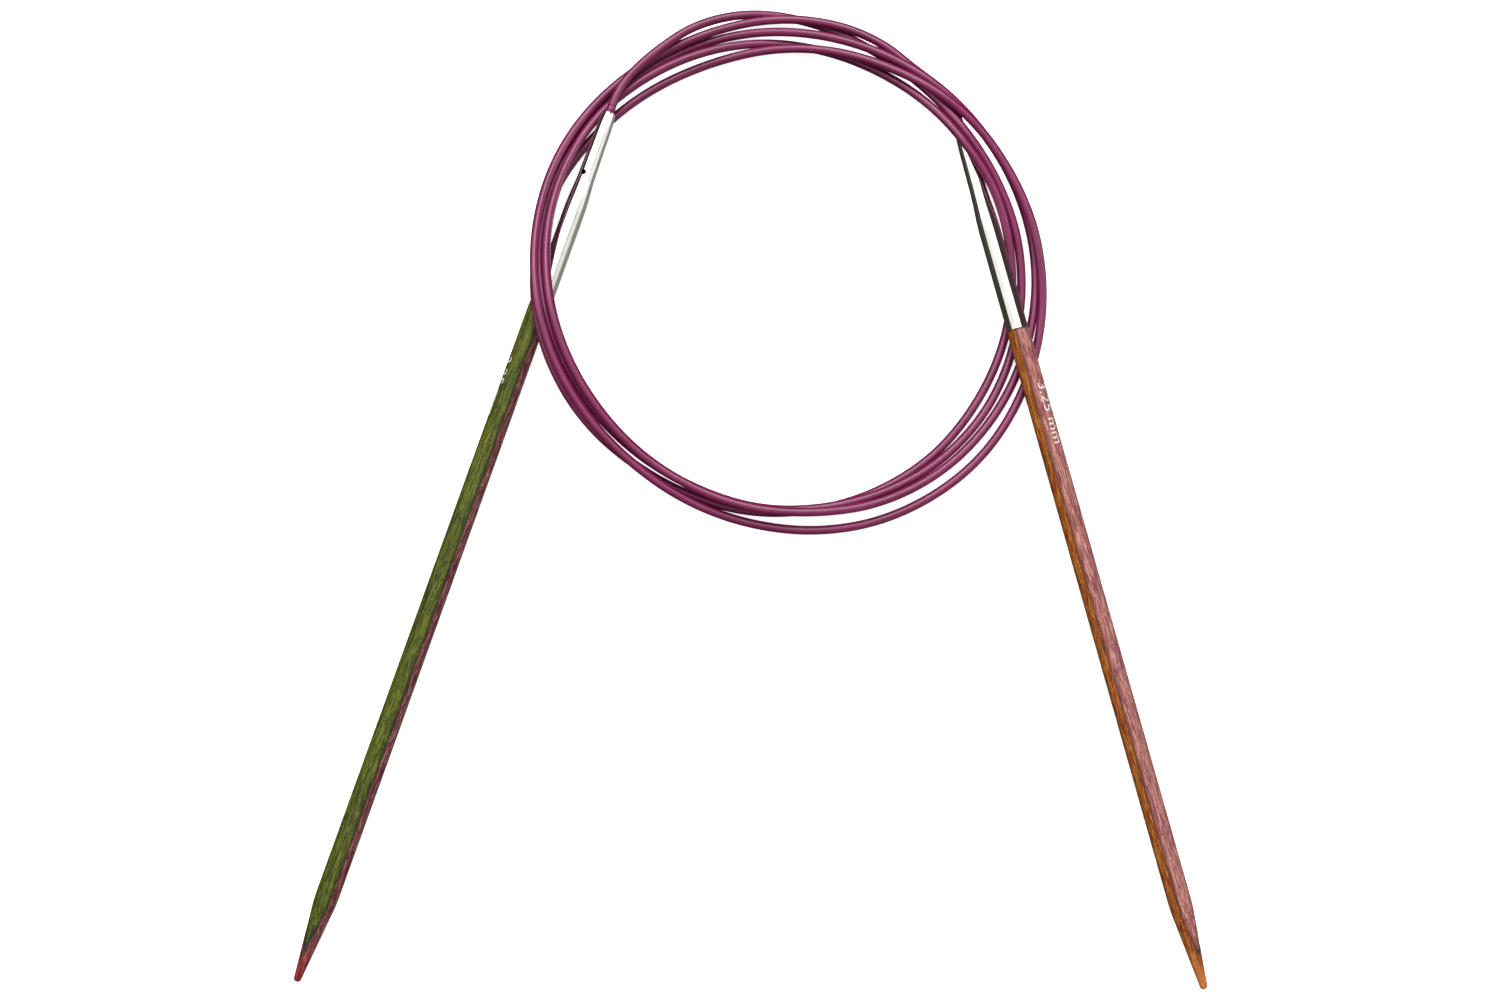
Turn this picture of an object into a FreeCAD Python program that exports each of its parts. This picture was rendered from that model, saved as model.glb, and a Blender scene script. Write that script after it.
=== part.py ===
import FreeCAD, Part
import os, math

# Fixed circular knitting needle, size 3.25 mm: two short laminated-wood needles, each in
# a hollow nickel-plated ferrule, joined by one long nylon cord that lies in a loose coil.
# Millimetres, +Z up, the object lying on the plane z = 0, origin under the middle of the
# box round the two needles.
os.makedirs("parts", exist_ok=True)
V = FreeCAD.Vector

# ---------------------------------------------------------------- driving dimensions
NEEDLE_D = 3.25            # the knitting size, diameter of the straight shaft
NECK_D = 3.20              # shaft diameter where it leaves the ferrule
NECK_LEN = 22.0            # length over which it swells to full size
TAPER_LEN = 12.6           # length of the point, with the soft corner it starts from
LEFT_WOOD = 100.0          # visible wood, ferrule to tip
RIGHT_WOOD = 95.5
CORE_HALF = 0.9425         # half thickness of the middle ply
GLUE = 0.07                # glue line between two plies
TENON_D, TENON_LEN = 2.50, 9.0
SOCKET_D, SOCKET_LEN = 2.60, 9.5
CHAMBER_D = 1.60           # hollow between the socket and the cord bore
FERRULE_LEN = 30.5
FERRULE_BIG_D = 3.12
FERRULE_MID_D = 2.52
FERRULE_SMALL_D = 2.36
MOUTH_D = 1.88
CORD_D = 1.27
CORD_HELD = 8.2            # length of cord bonded in the ferrule
FLARE_D, FLARE_LEN = 1.80, 1.2   # moulded swelling of the cord where it leaves the mouth
GAP = 0.045                # half the gap between the moulded end and the free cord
CROSS_HOLE_D = 0.8         # vent hole through one wall of the left ferrule
CROSS_HOLE_AT = 9.75       # from the mouth
CROSS_HOLE_LEAN = 20.0     # its direction, leaning outwards from straight up, degrees
LEFT_PLY_TILT = 23.5       # how far the ply planes lean outwards from level, degrees
RIGHT_PLY_TILT = 30.5

# where each needle turns on the end of the cord, and which way its tip lies
LEFT_PIVOT = V(-20.138, 62.809, 3.387)
LEFT_DIR = V(-0.320942, -0.946984, -0.014760)
RIGHT_PIVOT = V(30.280, 60.136, 3.770)
RIGHT_DIR = V(0.252293, -0.967471, -0.018680)

# the cord's route: corners of its runs, from the left needle to the right one
ROUTE = [
    (-20.138, 62.809, 3.387), (-19.562, 64.515, 3.414), (-17.725, 67.493, 3.361), (-13.524, 71.500, 3.275),
    (-7.673, 75.767, 2.648), (0.417, 77.714, 1.928), (9.555, 76.405, 1.154), (18.287, 71.453, 2.854),
    (25.755, 64.968, 4.498), (31.422, 57.920, 5.789), (35.891, 51.110, 4.001), (38.857, 43.186, 2.144),
    (39.392, 34.508, 0.649), (37.476, 25.356, 0.649), (33.412, 17.158, 0.717), (26.792, 10.270, 1.335),
    (18.965, 5.893, 1.916), (10.071, 3.614, 2.070), (1.296, 3.588, 1.966), (-7.050, 6.189, 1.862),
    (-15.021, 10.705, 1.753), (-21.478, 16.465, 2.502), (-26.510, 23.706, 4.432), (-29.651, 32.252, 6.425),
    (-30.553, 42.275, 4.653), (-28.529, 52.565, 2.641), (-23.607, 61.709, 0.649), (-16.510, 68.527, 0.649),
    (-8.146, 73.132, 0.649), (1.042, 74.664, 2.381), (10.388, 73.507, 4.132), (18.993, 70.531, 4.896),
    (26.796, 65.593, 5.671), (33.254, 59.317, 4.465), (38.210, 51.976, 2.599), (41.230, 43.231, 0.649),
    (41.386, 33.732, 0.649), (38.877, 24.185, 0.649), (34.107, 15.780, 0.740), (27.218, 8.892, 1.745),
    (18.622, 4.380, 2.591), (9.826, 2.895, 3.307), (0.651, 3.362, 3.296), (-7.623, 6.158, 3.285),
    (-15.127, 10.792, 3.274), (-21.204, 16.895, 4.597), (-25.890, 24.329, 5.946), (-28.603, 32.453, 7.262),
    (-29.476, 42.641, 5.448), (-27.580, 52.407, 3.683), (-22.937, 61.616, 1.853), (-15.590, 67.638, 2.221),
    (-7.073, 71.483, 2.582), (1.836, 73.339, 1.446), (10.623, 72.227, 1.200), (18.528, 68.475, 2.973),
    (25.538, 63.114, 4.762), (30.879, 56.471, 6.469), (35.450, 49.640, 4.529), (37.621, 41.915, 2.636),
    (37.871, 33.516, 0.653), (35.670, 25.186, 0.649), (31.336, 17.305, 0.649), (25.556, 10.821, 0.649),
    (17.747, 6.063, 0.649), (9.353, 3.597, 0.649), (0.149, 3.252, 0.649), (-8.592, 5.646, 0.649),
    (-16.729, 10.192, 0.649), (-23.705, 16.061, 2.897), (-28.578, 23.944, 5.182), (-31.054, 33.370, 5.526),
    (-30.823, 44.283, 2.603), (-27.420, 53.637, 0.649), (-20.956, 61.449, 0.649), (-14.028, 66.668, 0.649),
    (-6.021, 70.330, 0.710), (2.594, 71.999, 2.186), (10.865, 71.469, 3.582), (19.216, 68.649, 5.061),
    (27.307, 63.860, 6.637), (33.499, 58.488, 5.621), (38.831, 50.240, 4.404), (41.728, 41.656, 3.281),
    (42.313, 32.174, 1.259), (40.118, 22.679, 0.649), (34.966, 13.308, 0.649), (27.834, 6.625, 0.649),
    (18.663, 2.020, 0.649), (8.924, 0.527, 0.649), (-0.662, 1.736, 0.649), (-9.421, 4.959, 1.701),
    (-17.088, 10.151, 3.227), (-23.317, 16.523, 4.695), (-28.109, 24.525, 6.232), (-30.575, 33.349, 7.519),
    (-30.984, 43.902, 5.608), (-28.597, 54.281, 3.681), (-23.463, 63.224, 1.814), (-15.768, 69.949, 1.781),
    (-6.710, 74.479, 2.064), (2.968, 76.582, 2.576), (12.032, 75.660, 3.046), (19.192, 72.563, 3.326),
    (24.038, 68.205, 3.562), (28.212, 64.982, 3.765), (29.829, 61.879, 3.804), (30.280, 60.136, 3.770),
]


# ---------------------------------------------------------------- helpers
def export(shape, name):
    solids = shape.Solids
    if len(solids) == 1:
        shape = solids[0]
    shape.exportStep("parts/%s.step" % name)
    b = shape.optimalBoundingBox()
    print("%-24s solids %d valid %s vol %.3f  x %.2f..%.2f y %.2f..%.2f z %.3f..%.3f" % (
        name, len(solids), shape.isValid(), shape.Volume, b.XMin, b.XMax, b.YMin, b.YMax, b.ZMin, b.ZMax))
    return shape


def revolve(points, spline=None, halves=False):
    """Solid of revolution about local Z. points are (z, r) corners; spline maps an index i
    to extra (z, r) points that a smooth curve follows from corner i to corner i + 1, as
    one curve or as a row of short cones."""
    spline = spline or {}
    edges = []
    n = len(points)
    for i in range(n):
        a, b = points[i], points[(i + 1) % n]
        va, vb = V(a[1], 0, a[0]), V(b[1], 0, b[0])
        if i in spline:
            c = Part.BSplineCurve()
            mid = [V(r, 0, z) for z, r in spline[i]["via"]]
            kw = {}
            if "start" in spline[i]:
                kw = {"InitialTangent": V(*spline[i]["start"]), "FinalTangent": V(*spline[i]["end"])}
            c.interpolate([va] + mid + [vb], **kw)
            if "cones" in spline[i]:
                p = c.discretize(spline[i]["cones"] + 1)
                edges += [Part.LineSegment(p[k], p[k + 1]).toShape() for k in range(len(p) - 1)]
            else:
                edges.append(c.toShape())
        elif (va - vb).Length > 1e-7:
            edges.append(Part.LineSegment(va, vb).toShape())
    face = Part.Face(Part.Wire(edges))
    s = face.revolve(V(0, 0, 0), V(0, 0, 1), 180 if halves else 360)
    s = s if s.Volume > 0 else s.reversed()
    if halves:
        t = s.copy()
        t.rotate(V(0, 0, 0), V(0, 0, 1), 180)
        s = s.fuse(t)
    return s


def frame(pivot, direction):
    """Placement with local Z along the needle, local Y as near upwards as it can be."""
    z = V(direction).normalize()
    up = V(0, 0, 1)
    y = (up - z * up.dot(z)).normalize()
    x = y.cross(z)
    m = FreeCAD.Matrix(x.x, y.x, z.x, pivot.x,
                       x.y, y.y, z.y, pivot.y,
                       x.z, y.z, z.z, pivot.z,
                       0, 0, 0, 1)
    return FreeCAD.Placement(m)


def slab(tilt, low, high, length):
    """Block between two planes whose normal leans tilt degrees from local Y towards local X."""
    w = 8.0
    box = Part.makeBox(w, high - low, length, V(-w / 2, low, 0))
    box.rotate(V(0, 0, 0), V(0, 0, 1), -tilt)
    return box


# ---------------------------------------------------------------- one needle
def needle(side, pivot, direction, wood, tilt, cross_hole):
    mouth = FLARE_LEN
    shoulder = mouth + FERRULE_LEN          # where the wood meets the ferrule
    tip = shoulder + wood
    place = frame(pivot, direction)
    r = NEEDLE_D / 2

    # shaft with its tenon and its long slim point
    ts = tip - TAPER_LEN
    prof = [
        (shoulder - TENON_LEN, 0), (shoulder - TENON_LEN, TENON_D / 2 - 0.15),
        (shoulder - TENON_LEN + 0.15, TENON_D / 2), (shoulder, TENON_D / 2),
        (shoulder, NECK_D / 2 - 0.06), (shoulder + 0.06, NECK_D / 2),
        (shoulder + NECK_LEN, r), (ts, r),
        (tip - 10.8, 1.5546), (tip - 0.42, 0.522), (tip, 0),
    ]
    taper = {
        7: {"via": [(tip - 12.0, 1.6165), (tip - 11.4, 1.593)], "start": (0, 0, 1), "end": (-0.0995, 0, 1), "cones": 6},
        9: {"via": [(tip - 0.22, 0.455), (tip - 0.07, 0.30)], "start": (-0.0995, 0, 1), "end": (-1, 0, 0), "cones": 7},
    }
    shaft = revolve(prof, taper, True)
    shaft.rotate(V(0, 0, 0), V(0, 0, 1), 90 - tilt)      # seams in the middle of the outer plies
    z0 = shoulder - TENON_LEN - 1
    ln = tip - z0 + 1
    cuts = {
        "ply_lower": (-4.0, -CORE_HALF - GLUE),
        "glue_lower": (-CORE_HALF - GLUE, -CORE_HALF),
        "ply_core": (-CORE_HALF, CORE_HALF),
        "glue_upper": (CORE_HALF, CORE_HALF + GLUE),
        "ply_upper": (CORE_HALF + GLUE, 4.0),
    }
    out = {}
    for name, (lo, hi) in cuts.items():
        b = slab(tilt, lo, hi, ln)
        b.translate(V(0, 0, z0))
        out[name] = shaft.common(b)

    # ferrule: socket for the tenon, hollow middle, cord bore, smooth outside
    m = mouth
    fer = [
        (m, CORD_D / 2), (m, MOUTH_D / 2 - 0.05), (m + 0.05, MOUTH_D / 2),
        (m + 4.2, FERRULE_SMALL_D / 2), (m + 9.4, FERRULE_MID_D / 2),
        (m + 15.6, FERRULE_BIG_D / 2), (shoulder - 0.05, FERRULE_BIG_D / 2),
        (shoulder, FERRULE_BIG_D / 2 - 0.05), (shoulder, SOCKET_D / 2),
        (shoulder - SOCKET_LEN, SOCKET_D / 2), (shoulder - SOCKET_LEN - 0.5, CHAMBER_D / 2),
        (m + CORD_HELD, CHAMBER_D / 2), (m + CORD_HELD, CORD_D / 2),
    ]
    # slopes written as (dr, 0, dz)
    smooth = {
        2: {"via": [(m + 0.6, 1.02), (m + 1.6, 1.105), (m + 2.9, 1.16)], "start": (0.20, 0, 1), "end": (0.015, 0, 1)},
        3: {"via": [(m + 6.8, 1.215)], "start": (0.015, 0, 1), "end": (0.025, 0, 1)},
        4: {"via": [(m + 11.0, 1.325), (m + 12.8, 1.450), (m + 14.3, 1.535)], "start": (0.025, 0, 1), "end": (0, 0, 1)},
    }
    ferrule = revolve(fer, smooth)
    if cross_hole:
        # drilled through the upper wall only
        h = Part.makeCylinder(CROSS_HOLE_D / 2, 2.2, V(0, 0, m + CROSS_HOLE_AT), V(-math.sin(math.radians(CROSS_HOLE_LEAN)), math.cos(math.radians(CROSS_HOLE_LEAN)), 0))
        ferrule = ferrule.cut(h)
    out["ferrule"] = ferrule

    out["tenon_adhesive"] = revolve([
        (shoulder - TENON_LEN + 0.15, TENON_D / 2), (shoulder, TENON_D / 2),
        (shoulder, SOCKET_D / 2), (shoulder - TENON_LEN + 0.15, SOCKET_D / 2)])

    out["cord_end"] = revolve([
        (GAP, 0), (GAP, CORD_D / 2 - 0.04), (GAP + 0.05, CORD_D / 2 + 0.005),
        (m, FLARE_D / 2), (m, CORD_D / 2), (m + CORD_HELD, CORD_D / 2), (m + CORD_HELD, 0)],
        {2: {"via": [(0.65, 0.705)], "start": (0.02, 0, 1), "end": (0.36, 0, 1)}})

    for name, shape in out.items():
        s = shape.copy()
        s.Placement = place.multiply(s.Placement)
        export(s, side + "_" + name)


# local X points towards the part's +X side on both needles, so outwards is minus on the
# left one
needle("left", LEFT_PIVOT, LEFT_DIR, LEFT_WOOD, -LEFT_PLY_TILT, True)
needle("right", RIGHT_PIVOT, RIGHT_DIR, RIGHT_WOOD, RIGHT_PLY_TILT, False)


# ---------------------------------------------------------------- the free cord
def tube(points, dia):
    """Round tube along straight runs joined by tangent arcs."""
    pts = [V(*p) for p in points]
    run = [(pts[i + 1] - pts[i]).Length for i in range(len(pts) - 1)]
    edges, cur, length, rmin = [], pts[0], 0.0, 1e9
    for i in range(1, len(pts) - 1):
        a = (pts[i] - pts[i - 1]).normalize()
        b = (pts[i + 1] - pts[i]).normalize()
        turn = a.getAngle(b)
        t = 0.45 * min(run[i - 1], run[i])
        rad = t / math.tan(turn / 2)
        rmin = min(rmin, rad)
        s, e = pts[i] - a * t, pts[i] + b * t
        c = pts[i] + (b - a).normalize() * (rad / math.cos(turn / 2))
        mid = c + (pts[i] - c).normalize() * rad
        edges.append(Part.LineSegment(cur, s).toShape())
        edges.append(Part.Arc(s, mid, e).toShape())
        length += (s - cur).Length + rad * turn
        cur = e
    edges.append(Part.LineSegment(cur, pts[-1]).toShape())
    length += (pts[-1] - cur).Length
    wire = Part.Wire(edges)
    circle = Part.Wire(Part.makeCircle(dia / 2, pts[0], pts[1] - pts[0]))
    solid = wire.makePipeShell([circle], True, False)
    print("cord length %.2f  tightest arc %.2f  volume %.3f of %.3f" % (
        length, rmin, solid.Volume, math.pi * dia * dia / 4 * length))
    return solid


a = (V(*ROUTE[1]) - V(*ROUTE[0])).normalize()
b = (V(*ROUTE[-2]) - V(*ROUTE[-1])).normalize()
route = [V(*ROUTE[0]) + a * GAP] + [V(*p) for p in ROUTE[1:-1]] + [V(*ROUTE[-1]) + b * GAP]
export(tube(route, CORD_D), "cord")
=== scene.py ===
import math
import bmesh
import bpy
from mathutils import Matrix, Vector


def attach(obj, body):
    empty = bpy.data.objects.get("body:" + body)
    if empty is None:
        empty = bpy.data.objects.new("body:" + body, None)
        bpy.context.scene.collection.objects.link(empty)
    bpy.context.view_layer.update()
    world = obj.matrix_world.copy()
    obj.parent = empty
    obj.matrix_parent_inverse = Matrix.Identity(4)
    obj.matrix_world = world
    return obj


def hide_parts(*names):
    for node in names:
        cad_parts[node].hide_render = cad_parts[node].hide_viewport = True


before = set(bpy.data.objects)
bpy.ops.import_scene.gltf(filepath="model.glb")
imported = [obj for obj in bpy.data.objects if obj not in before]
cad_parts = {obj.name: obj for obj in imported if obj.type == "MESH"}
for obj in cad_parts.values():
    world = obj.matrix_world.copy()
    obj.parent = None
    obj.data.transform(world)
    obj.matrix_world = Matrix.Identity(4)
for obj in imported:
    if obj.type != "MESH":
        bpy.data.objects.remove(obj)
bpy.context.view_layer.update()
MM = 0.001

# ------------------------------------------------------------------ the needles' own axes
NEEDLES = {
    "left": {"pivot": Vector((-20.138, 62.809, 3.387)) * MM, "dir": Vector((-0.320942, -0.946984, -0.014760)).normalized(),
             "wood": 100.0, "tilt": -23.5},
    "right": {"pivot": Vector((30.280, 60.136, 3.770)) * MM, "dir": Vector((0.252293, -0.967471, -0.018680)).normalized(),
              "wood": 95.5, "tilt": 30.5},
}
SHOULDER = 31.7          # pivot to the wood's shoulder, mm
RADIUS = 1.625           # shaft, mm
for n in NEEDLES.values():
    up = Vector((0, 0, 1))
    n["y"] = (up - n["dir"] * up.dot(n["dir"])).normalized()
    n["x"] = n["y"].cross(n["dir"])

# ------------------------------------------------------------------ camera
cam = bpy.data.objects.new("camera", bpy.data.cameras.new("camera"))
bpy.context.scene.collection.objects.link(cam)
cam.data.lens = 52.8
cam.data.sensor_width = 36.0
cam.data.clip_start = 0.01
cam.location = (-0.000065, -0.043845, 0.310421)
cam.rotation_euler = (math.radians(9.0), 0, 0)
bpy.context.scene.camera = cam

# ------------------------------------------------------------------ the free cord
ROUTE = [
    (-0.020138, 0.062809, 0.003387), (-0.019562, 0.064515, 0.003414), (-0.017725, 0.067493, 0.003361), (-0.013524, 0.071500, 0.003275),
    (-0.007673, 0.075767, 0.002648), (0.000417, 0.077714, 0.001928), (0.009555, 0.076405, 0.001154), (0.018287, 0.071453, 0.002854),
    (0.025755, 0.064968, 0.004498), (0.031422, 0.057920, 0.005789), (0.035891, 0.051110, 0.004001), (0.038857, 0.043186, 0.002144),
    (0.039392, 0.034508, 0.000649), (0.037476, 0.025356, 0.000649), (0.033412, 0.017158, 0.000717), (0.026792, 0.010270, 0.001335),
    (0.018965, 0.005893, 0.001916), (0.010071, 0.003614, 0.002070), (0.001296, 0.003588, 0.001966), (-0.007050, 0.006189, 0.001862),
    (-0.015021, 0.010705, 0.001753), (-0.021478, 0.016465, 0.002502), (-0.026510, 0.023706, 0.004432), (-0.029651, 0.032252, 0.006425),
    (-0.030553, 0.042275, 0.004653), (-0.028529, 0.052565, 0.002641), (-0.023607, 0.061709, 0.000649), (-0.016510, 0.068527, 0.000649),
    (-0.008146, 0.073132, 0.000649), (0.001042, 0.074664, 0.002381), (0.010388, 0.073507, 0.004132), (0.018993, 0.070531, 0.004896),
    (0.026796, 0.065593, 0.005671), (0.033254, 0.059317, 0.004465), (0.038210, 0.051976, 0.002599), (0.041230, 0.043231, 0.000649),
    (0.041386, 0.033732, 0.000649), (0.038877, 0.024185, 0.000649), (0.034107, 0.015780, 0.000740), (0.027218, 0.008892, 0.001745),
    (0.018622, 0.004380, 0.002591), (0.009826, 0.002895, 0.003307), (0.000651, 0.003362, 0.003296), (-0.007623, 0.006158, 0.003285),
    (-0.015127, 0.010792, 0.003274), (-0.021204, 0.016895, 0.004597), (-0.025890, 0.024329, 0.005946), (-0.028603, 0.032453, 0.007262),
    (-0.029476, 0.042641, 0.005448), (-0.027580, 0.052407, 0.003683), (-0.022937, 0.061616, 0.001853), (-0.015590, 0.067638, 0.002221),
    (-0.007073, 0.071483, 0.002582), (0.001836, 0.073339, 0.001446), (0.010623, 0.072227, 0.001200), (0.018528, 0.068475, 0.002973),
    (0.025538, 0.063114, 0.004762), (0.030879, 0.056471, 0.006469), (0.035450, 0.049640, 0.004529), (0.037621, 0.041915, 0.002636),
    (0.037871, 0.033516, 0.000653), (0.035670, 0.025186, 0.000649), (0.031336, 0.017305, 0.000649), (0.025556, 0.010821, 0.000649),
    (0.017747, 0.006063, 0.000649), (0.009353, 0.003597, 0.000649), (0.000149, 0.003252, 0.000649), (-0.008592, 0.005646, 0.000649),
    (-0.016729, 0.010192, 0.000649), (-0.023705, 0.016061, 0.002897), (-0.028578, 0.023944, 0.005182), (-0.031054, 0.033370, 0.005526),
    (-0.030823, 0.044283, 0.002603), (-0.027420, 0.053637, 0.000649), (-0.020956, 0.061449, 0.000649), (-0.014028, 0.066668, 0.000649),
    (-0.006021, 0.070330, 0.000710), (0.002594, 0.071999, 0.002186), (0.010865, 0.071469, 0.003582), (0.019216, 0.068649, 0.005061),
    (0.027307, 0.063860, 0.006637), (0.033499, 0.058488, 0.005621), (0.038831, 0.050240, 0.004404), (0.041728, 0.041656, 0.003281),
    (0.042313, 0.032174, 0.001259), (0.040118, 0.022679, 0.000649), (0.034966, 0.013308, 0.000649), (0.027834, 0.006625, 0.000649),
    (0.018663, 0.002020, 0.000649), (0.008924, 0.000527, 0.000649), (-0.000662, 0.001736, 0.000649), (-0.009421, 0.004959, 0.001701),
    (-0.017088, 0.010151, 0.003227), (-0.023317, 0.016523, 0.004695), (-0.028109, 0.024525, 0.006232), (-0.030575, 0.033349, 0.007519),
    (-0.030984, 0.043902, 0.005608), (-0.028597, 0.054281, 0.003681), (-0.023463, 0.063224, 0.001814), (-0.015768, 0.069949, 0.001781),
    (-0.006710, 0.074479, 0.002064), (0.002968, 0.076582, 0.002576), (0.012032, 0.075660, 0.003046), (0.019192, 0.072563, 0.003326),
    (0.024038, 0.068205, 0.003562), (0.028212, 0.064982, 0.003765), (0.029829, 0.061879, 0.003804), (0.030280, 0.060136, 0.003770),]
CORD_D = 0.00127
cd = bpy.data.curves.new("cord_line", "CURVE")
cd.dimensions = "3D"
sp = cd.splines.new("NURBS")
sp.points.add(len(ROUTE) - 1)
for p, co in zip(sp.points, ROUTE):
    p.co = (*co, 1.0)
    p.radius = CORD_D / 2
sp.order_u = 3
sp.use_endpoint_u = True
cd.resolution_u = 14
cd.bevel_depth = 1.0          # times each point's radius
cd.bevel_resolution = 8
cord = bpy.data.objects.new("cord_soft", cd)
bpy.context.scene.collection.objects.link(cord)
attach(cord, "cord")
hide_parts("cord")


# ------------------------------------------------------------------ node materials
def lin(r, g, b):
    """Display colour 0-255 as linear light."""
    return tuple(((c / 255) / 12.92 if c / 255 <= 0.04045 else ((c / 255 + 0.055) / 1.055) ** 2.4) for c in (r, g, b)) + (1.0,)


class Mat:
    def __init__(self, name):
        self.m = bpy.data.materials.new(name)
        self.m.use_nodes = True
        self.nt = self.m.node_tree
        self.b = self.nt.nodes["Principled BSDF"]

    def node(self, kind, **props):
        n = self.nt.nodes.new(kind)
        for k, v in props.items():
            setattr(n, k, v)
        return n

    def link(self, a, b):
        self.nt.links.new(a, b)

    def vmath(self, op, a, b=None, out=0):
        n = self.node("ShaderNodeVectorMath", operation=op)
        for i, v in enumerate((a, b)):
            if v is None:
                continue
            if hasattr(v, "is_output"):
                self.link(v, n.inputs[i])
            else:
                n.inputs[i].default_value = v
        return n.outputs[out]

    def math(self, op, a, b=None, c=None, clamp=False):
        n = self.node("ShaderNodeMath", operation=op, use_clamp=clamp)
        for i, v in enumerate((a, b, c)):
            if v is None:
                continue
            if hasattr(v, "is_output"):
                self.link(v, n.inputs[i])
            else:
                n.inputs[i].default_value = v
        return n.outputs[0]

    def along(self, side):
        """Object coordinates turned to a needle's own axes, in mm from its pivot: x, y, along."""
        n = NEEDLES[side]
        tc = self.node("ShaderNodeTexCoord").outputs["Object"]
        rel = self.vmath("SUBTRACT", tc, tuple(n["pivot"]))
        comb = self.node("ShaderNodeCombineXYZ")
        for i, v in enumerate((n["x"], n["y"], n["dir"])):
            d = self.vmath("DOT_PRODUCT", rel, tuple(v), out=1)
            self.link(self.math("MULTIPLY", d, 1000.0), comb.inputs[i])
        return comb.outputs[0]

    def scaled(self, vec, s):
        return self.vmath("MULTIPLY", vec, s)

    def noise(self, vec, scale=1.0, detail=3.0, rough=0.5, distortion=0.0, out="Fac"):
        n = self.node("ShaderNodeTexNoise")
        self.link(vec, n.inputs["Vector"])
        n.inputs["Scale"].default_value = scale
        n.inputs["Detail"].default_value = detail
        n.inputs["Roughness"].default_value = rough
        n.inputs["Distortion"].default_value = distortion
        return n.outputs[0] if out == "Fac" else n.outputs[out]

    def ramp(self, fac, stops, ease="LINEAR"):
        n = self.node("ShaderNodeValToRGB")
        n.color_ramp.interpolation = ease
        el = n.color_ramp.elements
        while len(el) < len(stops):
            el.new(0.5)
        for e, (p, c) in zip(el, stops):
            e.position = p
            e.color = c if hasattr(c, "__len__") else (c, c, c, 1)
        self.link(fac, n.inputs[0])
        return n.outputs[0]

    def mix(self, fac, a, b, kind="MIX"):
        n = self.node("ShaderNodeMix", data_type="RGBA", blend_type=kind)
        for s, v in ((n.inputs[0], fac), (n.inputs[6], a), (n.inputs[7], b)):
            if hasattr(v, "is_output"):
                self.link(v, s)
            else:
                s.default_value = v
        return n.outputs[2]

    def rerange(self, fac, lo, hi, a, b):
        n = self.node("ShaderNodeMapRange")
        self.link(fac, n.inputs[0])
        for i, v in enumerate((lo, hi, a, b)):
            n.inputs[i + 1].default_value = v
        return n.outputs[0]

    def bump(self, height, strength, dist):
        n = self.node("ShaderNodeBump")
        n.inputs["Strength"].default_value = strength
        n.inputs["Distance"].default_value = dist
        self.link(height, n.inputs["Height"])
        self.link(n.outputs[0], self.b.inputs["Normal"])


def wood(name, side, gain, stops, blotch, streak, fleck, light, seed, line, line_amt, line_w, tip=None):
    """Dyed, densified birch: long soft streaks, broad blotches, fine light and dark fibres
    and short vessels, waxed. Beside each glue line the dye of the two plies runs together,
    a little darkens the wood where it meets the ferrule, and the point's end is stained."""
    m = Mat(name)
    place = m.along(side)
    v = m.vmath("ADD", place, (seed * 3.1, seed * 1.7, seed * 11.0))
    grain = m.noise(m.scaled(v, (3.2, 2.7, 0.28)), 1.0, 6.0, 0.70, 0.6)
    col = m.ramp(grain, stops)
    broad = m.noise(m.scaled(v, (1.0, 0.8, 0.12)), 1.0, 2.0, 0.5, 0.3)
    col = m.mix(m.rerange(broad, 0.46, 0.58, 0.0, 0.75), col, blotch)
    thin = m.noise(m.scaled(v, (5.0, 4.2, 0.26)), 1.0, 3.0, 0.65, 0.3)
    col = m.mix(m.rerange(thin, 0.51, 0.60, 0.0, 0.85), col, streak)
    fibre = m.noise(m.scaled(v, (7.0, 6.0, 0.50)), 1.0, 2.0, 0.6, 0.2)
    col = m.mix(m.rerange(fibre, 0.53, 0.61, 0.0, 0.80), col, light)
    pore = m.noise(m.scaled(v, (14.0, 11.0, 1.6)), 1.0, 1.0, 0.5)
    col = m.mix(m.rerange(pore, 0.58, 0.65, 0.0, 0.75), col, fleck)
    sep = m.node("ShaderNodeSeparateXYZ")
    m.link(place, sep.inputs[0])
    z = sep.outputs[2]
    if tip:
        end = SHOULDER + NEEDLES[side]["wood"]
        col = m.mix(m.rerange(z, end - 6.0, end - 1.0, 0.0, 0.7), col, tip)
    t = math.radians(NEEDLES[side]["tilt"])
    across = m.vmath("DOT_PRODUCT", place, (math.sin(t), math.cos(t), 0.0), out=1)
    wander = m.math("MULTIPLY", m.math("SUBTRACT", m.noise(m.scaled(v, (1.5, 1.5, 0.5)), 1.0, 3.0, 0.6), 0.5), 0.20)
    off = m.math("ABSOLUTE", m.math("SUBTRACT", m.math("ABSOLUTE", m.math("ADD", across, wander)), 0.9775))
    col = m.mix(m.rerange(off, 0.02, line_w, line_amt, 0.0), col, line)
    col = m.mix(m.rerange(z, SHOULDER + 0.05, SHOULDER + 0.30, 0.8, 0.0), col, lin(40, 26, 20))
    col = m.mix(1.0, col, gain + (1.0,), "MULTIPLY")
    m.link(col, m.b.inputs["Base Color"])
    m.link(m.math("ADD", m.rerange(grain, 0.3, 0.7, 0.48, 0.36), m.rerange(pore, 0.59, 0.68, 0.0, 0.12)), m.b.inputs["Roughness"])
    m.b.inputs["Specular IOR Level"].default_value = 0.17
    m.bump(m.math("SUBTRACT", grain, m.math("MULTIPLY", m.rerange(pore, 0.55, 0.70, 0.0, 1.0), 0.6)), 0.25, 0.00006)
    return m.m


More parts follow.
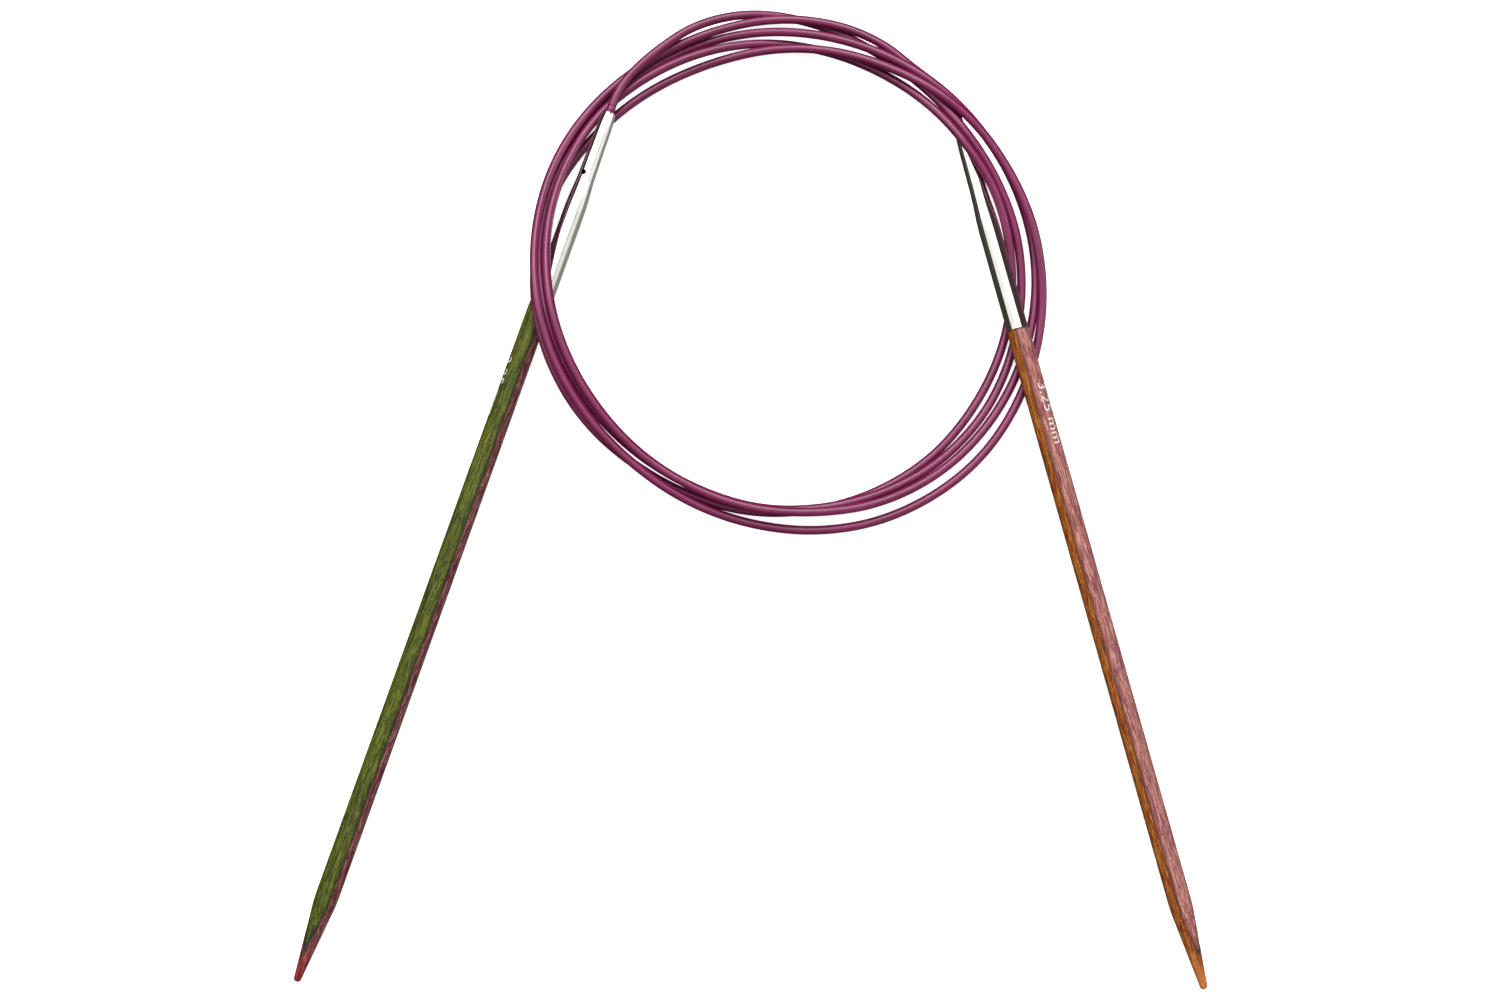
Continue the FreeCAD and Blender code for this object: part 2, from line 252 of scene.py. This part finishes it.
MATS = {}
MATS["left_upper"] = wood(
    "wood_green", "left", (0.90, 0.95, 0.80),
    [(0.34, lin(38, 44, 14)), (0.42, lin(62, 72, 18)), (0.50, lin(84, 98, 24)), (0.57, lin(106, 116, 30)), (0.66, lin(138, 130, 46))],
    lin(86, 80, 30), lin(42, 48, 20), lin(24, 26, 12), lin(128, 132, 52), 1.0, lin(34, 42, 22), 0.85, 0.20)
MATS["left_core"] = wood(
    "wood_burgundy", "left", (1.10, 1.06, 1.12),
    [(0.34, lin(66, 20, 26)), (0.42, lin(98, 38, 42)), (0.50, lin(124, 60, 62)), (0.57, lin(150, 88, 86)), (0.66, lin(172, 118, 112))],
    lin(98, 42, 50), lin(68, 24, 32), lin(50, 14, 22), lin(182, 134, 126), 2.0, lin(44, 44, 26), 0.85, 0.26, lin(134, 22, 24))
MATS["right_upper"] = wood(
    "wood_rose", "right", (1.11, 1.00, 0.98),
    [(0.34, lin(116, 62, 66)), (0.42, lin(142, 86, 82)), (0.50, lin(168, 110, 102)), (0.57, lin(186, 130, 118)), (0.66, lin(206, 158, 142))],
    lin(136, 80, 92), lin(118, 64, 82), lin(92, 44, 50), lin(214, 168, 154), 3.0, lin(112, 52, 44), 0.70, 0.34)
MATS["right_core"] = wood(
    "wood_orange", "right", (1.26, 1.22, 1.22),
    [(0.34, lin(108, 50, 12)), (0.42, lin(136, 70, 18)), (0.50, lin(160, 86, 26)), (0.57, lin(178, 104, 36)), (0.66, lin(198, 130, 60))],
    lin(142, 66, 26), lin(104, 48, 16), lin(70, 34, 14), lin(206, 140, 74), 4.0, lin(98, 44, 26), 0.60, 0.34, lin(196, 118, 58))


def glue(name, side):
    m = Mat(name)
    v = m.along(side)
    n = m.noise(m.scaled(v, (3.0, 3.0, 0.5)), 1.0, 3.0, 0.6)
    m.link(m.ramp(n, [(0.3, lin(20, 18, 12)), (0.7, lin(52, 40, 26))]), m.b.inputs["Base Color"])
    m.link(m.rerange(n, 0.3, 0.7, 0.28, 0.42), m.b.inputs["Roughness"])
    m.bump(n, 0.1, 0.00003)
    return m.m


def nickel(name, side):
    """Mirror nickel over turned brass: faint lengthwise polishing lines and slight cloudiness. Inside the bore the
    metal is painted dark and made rough: painted shade down the hole.
    """
    m = Mat(name)
    v = m.along(side)
    m.b.inputs["Metallic"].default_value = 1.0
    cloud = m.noise(m.scaled(v, (0.8, 0.8, 0.35)), 1.0, 3.0, 0.55)
    lines = m.noise(m.scaled(v, (16.0, 16.0, 0.5)), 1.0, 2.0, 0.6)
    sep = m.node("ShaderNodeSeparateXYZ")
    m.link(v, sep.inputs[0])
    z = sep.outputs[2]
    rr = m.math("SQRT", m.math("ADD", m.math("MULTIPLY", sep.outputs[0], sep.outputs[0]), m.math("MULTIPLY", sep.outputs[1], sep.outputs[1])))
    limit = m.math("ADD", m.math("MULTIPLY", m.math("GREATER_THAN", z, 9.0), 0.25), m.math("MULTIPLY", m.math("GREATER_THAN", z, 21.0), 0.23))
    # painted shade: inside the bore and its cross hole the metal is coloured near-black brown and made rough, standing
    # in for the shade down the hole
    bore_shade = m.math("LESS_THAN", rr, m.math("ADD", limit, 0.86))
    bore_shade = m.math("MULTIPLY", bore_shade, m.math("MULTIPLY", m.math("GREATER_THAN", z, 1.35), m.math("LESS_THAN", z, 31.6)))
    skin_col = m.ramp(cloud, [(0.3, lin(226, 223, 216)), (0.7, lin(240, 238, 233))])
    # the near-black brown here is the painted shade of the bore, mixed over the nickel
    m.link(m.mix(bore_shade, skin_col, lin(46, 38, 30)), m.b.inputs["Base Color"])
    r = m.math("ADD", m.rerange(cloud, 0.3, 0.7, 0.03, 0.06), m.rerange(lines, 0.5, 0.75, 0.0, 0.02))
    m.link(m.math("MAXIMUM", r, m.math("MULTIPLY", bore_shade, 0.6)), m.b.inputs["Roughness"])
    m.bump(lines, 0.02, 0.000004)
    return m.m


def nylon(name):
    """Smooth dyed nylon monofilament, slightly cloudy, a trace of light carried inside."""
    m = Mat(name)
    tc = m.node("ShaderNodeTexCoord").outputs["Object"]
    v = m.vmath("MULTIPLY", tc, (1000.0, 1000.0, 1000.0))
    broad = m.noise(v, 0.11, 3.0, 0.55)
    fine = m.noise(v, 2.2, 2.0, 0.6)
    col = m.ramp(broad, [(0.32, lin(119, 19, 74)), (0.50, lin(131, 25, 84)), (0.70, lin(141, 33, 92))])
    col = m.mix(m.rerange(fine, 0.45, 0.75, 0.0, 0.25), col, lin(111, 15, 69))
    m.link(col, m.b.inputs["Base Color"])
    m.link(m.rerange(fine, 0.3, 0.7, 0.28, 0.36), m.b.inputs["Roughness"])
    m.b.inputs["Subsurface Weight"].default_value = 0.12
    m.b.inputs["Subsurface Radius"].default_value = (1.0, 0.25, 0.5)
    m.b.inputs["Subsurface Scale"].default_value = 0.0006
    m.b.inputs["Specular IOR Level"].default_value = 0.7
    m.bump(fine, 0.04, 0.00002)
    return m.m


def epoxy(name, side):
    m = Mat(name)
    v = m.along(side)
    n = m.noise(v, 1.4, 3.0, 0.5)
    m.link(m.ramp(n, [(0.3, lin(190, 150, 90)), (0.7, lin(214, 182, 128))]), m.b.inputs["Base Color"])
    m.link(m.rerange(n, 0.3, 0.7, 0.12, 0.25), m.b.inputs["Roughness"])
    return m.m


def ink(name, side):
    """White print, slightly worn."""
    m = Mat(name)
    v = m.along(side)
    n = m.noise(m.scaled(v, (5.0, 5.0, 3.0)), 1.0, 3.0, 0.6)
    m.link(m.ramp(n, [(0.3, lin(222, 214, 206)), (0.6, lin(246, 242, 238))]), m.b.inputs["Base Color"])
    m.link(m.rerange(n, 0.3, 0.7, 0.35, 0.5), m.b.inputs["Roughness"])
    return m.m


MATS["nylon"] = nylon("nylon")
cord.data.materials.append(MATS["nylon"])
for side in ("left", "right"):
    MATS[side + "_glue"] = glue("glue_line_" + side, side)
    MATS[side + "_nickel"] = nickel("nickel_" + side, side)
    MATS[side + "_epoxy"] = epoxy("adhesive_" + side, side)
    MATS[side + "_ink"] = ink("ink_" + side, side)

SLOTS = {
    "ply_upper": ("upper", {"left": "wood_green", "right": "wood_rose"}),
    "ply_lower": ("upper", {"left": "wood_green", "right": "wood_rose"}),
    "ply_core": ("core", {"left": "wood_burgundy", "right": "wood_orange"}),
    "glue_upper": ("glue", "glue_line"),
    "glue_lower": ("glue", "glue_line"),
    "ferrule": ("nickel", "nickel"),
    "tenon_adhesive": ("epoxy", "adhesive"),
    "cord_end": ("nylon", "nylon"),
}
for side in ("left", "right"):
    for part, (key, slot) in SLOTS.items():
        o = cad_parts["%s_%s" % (side, part)]
        mat = MATS["nylon"] if key == "nylon" else MATS["%s_%s" % (side, key)]
        o.data.materials.clear()
        o.data.materials.append(mat)


# ------------------------------------------------------------------ size figures
def size_mark(side, start, length, middle, cap):
    """The size, 3.25 mm, in a plain face wrapped round the shaft. start is the distance from
    the shoulder, middle the angle of the line's middle from the shaft's top towards +x."""
    n = NEEDLES[side]
    c = bpy.data.curves.new("mark", "FONT")
    c.body = "3.25 mm"
    c.size = 1.0
    tmp = bpy.data.objects.new("mark_tmp", c)
    bpy.context.scene.collection.objects.link(tmp)
    bpy.context.view_layer.update()
    me = bpy.data.meshes.new_from_object(tmp.evaluated_get(bpy.context.evaluated_depsgraph_get()))
    bpy.data.objects.remove(tmp)
    bm = bmesh.new()
    bm.from_mesh(me)
    xs = [v.co.x for v in bm.verts]
    ys = [v.co.y for v in bm.verts]
    x0, x1, y0, y1 = min(xs), max(xs), min(ys), max(ys)
    for v in bm.verts:
        v.co.x = (v.co.x - x0) / (x1 - x0) * length
        v.co.y = ((v.co.y - y0) / (y1 - y0) - 0.5) * cap
        v.co.z = 0
    k = -0.5 + 0.08
    while k < 0.5:
        bmesh.ops.bisect_plane(bm, geom=bm.verts[:] + bm.edges[:] + bm.faces[:], plane_co=(0, k * cap, 0), plane_no=(0, 1, 0))
        k += 0.08
    r = (RADIUS - 0.004 if start < 22 else RADIUS) + 0.012
    for v in bm.verts:
        s = SHOULDER + start + v.co.x
        rr = 1.6 + (RADIUS - 1.6) * min(1.0, (s - SHOULDER) / 22.0) + 0.010
        a = math.radians(middle) + v.co.y / rr
        v.co = n["pivot"] + (n["dir"] * s + (n["x"] * math.sin(a) + n["y"] * math.cos(a)) * rr) * MM
    bm.normal_update()
    bm.to_mesh(me)
    bm.free()
    me.materials.clear()
    me.materials.append(MATS[side + "_ink"])
    o = bpy.data.objects.new(side + "_size_mark", me)
    bpy.context.scene.collection.objects.link(o)
    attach(o, side + "_needle")
    return o


size_mark("right", 8.4, 9.0, 36.0, 1.35)
size_mark("left", 8.2, 9.0, -64.0, 1.35)

# ------------------------------------------------------------------ floor and light
fm = bpy.data.meshes.new("floor")
fm.from_pydata([(-1.5, -1.5, 0), (1.5, -1.5, 0), (1.5, 1.5, 0), (-1.5, 1.5, 0)], [], [(0, 1, 2, 3)])
floor = bpy.data.objects.new("floor", fm)
floor.location = (0, 0, -0.00002)
bpy.context.scene.collection.objects.link(floor)
fmat = Mat("floor_paper")
fn = fmat.noise(fmat.node("ShaderNodeTexCoord").outputs["Object"], 40.0, 3.0, 0.5)
fmat.link(fmat.ramp(fn, [(0.3, (0.90, 0.90, 0.90, 1)), (0.7, (0.93, 0.93, 0.93, 1))]), fmat.b.inputs["Base Color"])
fmat.b.inputs["Emission Color"].default_value = (1, 1, 1, 1)
fmat.b.inputs["Emission Strength"].default_value = 0.78
fmat.b.inputs["Roughness"].default_value = 0.9
fmat.b.inputs["Specular IOR Level"].default_value = 0.1
fm.materials.append(fmat.m)
floor.visible_glossy = False
floor.visible_diffuse = False

world = bpy.data.worlds.new("studio")
bpy.context.scene.world = world
world.use_nodes = True
wt = world.node_tree
bg = wt.nodes["Background"]
tc = wt.nodes.new("ShaderNodeTexCoord")
sep = wt.nodes.new("ShaderNodeSeparateXYZ")
wt.links.new(tc.outputs["Generated"], sep.inputs[0])


def wmath(op, a, b, clamp=False):
    n = wt.nodes.new("ShaderNodeMath")
    n.operation = op
    n.use_clamp = clamp
    for k, v in enumerate((a, b)):
        if hasattr(v, "is_output"):
            wt.links.new(v, n.inputs[k])
        else:
            n.inputs[k].default_value = v
    return n.outputs[0]


def wfade(v, lo, hi):
    """0 below lo, 1 above hi."""
    return wmath("MULTIPLY", wmath("SUBTRACT", v, lo), 1.0 / (hi - lo), True)


def wmix(fac, a, b):
    n = wt.nodes.new("ShaderNodeMix")
    n.data_type = "RGBA"
    for s, v in ((n.inputs[0], fac), (n.inputs[6], a), (n.inputs[7], b)):
        if hasattr(v, "is_output"):
            wt.links.new(v, s)
        else:
            s.default_value = v
    return n.outputs[2]


# a white tent over a dark table edge: the cloth hangs lower on the right, less low on the
# far right, has one seam, is brightest behind the object and dim in front of it
wx, wy, wz = sep.outputs
right = wfade(wx, 0.0, 0.33)
far = wfade(wy, 0.275, 0.31)
far_right = wmath("MULTIPLY", right, far)
near_right = wmath("MULTIPLY", right, wmath("SUBTRACT", 1.0, far))
far_left = wmath("MULTIPLY", wfade(wx, 0.0, -0.33), wfade(wy, 0.2, 0.4))
edge = wmath("ADD", wmath("SUBTRACT", wmath("MULTIPLY", far_right, 0.45), wmath("MULTIPLY", near_right, 0.43)), 0.35)
edge = wmath("ADD", edge, wmath("MULTIPLY", far_left, 0.21))
tent = wfade(wmath("SUBTRACT", wz, edge), -0.03, 0.05)
low = wmix(near_right, (0.045, 0.045, 0.038, 1), (0.27, 0.27, 0.25, 1))
low = wmix(far_right, low, (0.055, 0.036, 0.040, 1))
seam = wmath("LESS_THAN", wmath("ABSOLUTE", wmath("SUBTRACT", wx, 0.715), 0.0), 0.035)
seam = wmath("MULTIPLY", seam, wmath("LESS_THAN", wmath("ABSOLUTE", wy, 0.0), 0.25))
cloth = wmix(seam, (1, 1, 1, 1), (0.32, 0.31, 0.29, 1))
front = wfade(wy, -0.35, -0.03)
back = wfade(wy, 0.04, 0.24)
cloth = wmix(front, (0.34, 0.34, 0.33, 1), cloth)
cloth = wmix(back, cloth, (2.1, 2.1, 2.08, 1))
# the tent lights the object and shows in its metal; behind it everything is plain and pale
rays = wt.nodes.new("ShaderNodeLightPath")
wt.links.new(wmix(rays.outputs["Is Camera Ray"], wmix(tent, low, cloth), (0.90, 0.90, 0.90, 1)), bg.inputs[0])
bg.inputs[1].default_value = 1.10
bpy.context.scene.view_settings.view_transform = "Standard"

key = bpy.data.objects.new("key", bpy.data.lights.new("key", "AREA"))
key.data.shape = "RECTANGLE"
key.data.size = 0.5
key.data.size_y = 0.35
key.data.energy = 2.0
key.location = (-0.05, 0.55, 0.75)
key.rotation_euler = (Vector((0, 0.03, 0)) - Vector(key.location)).to_track_quat("-Z", "Y").to_euler()
bpy.context.scene.collection.objects.link(key)
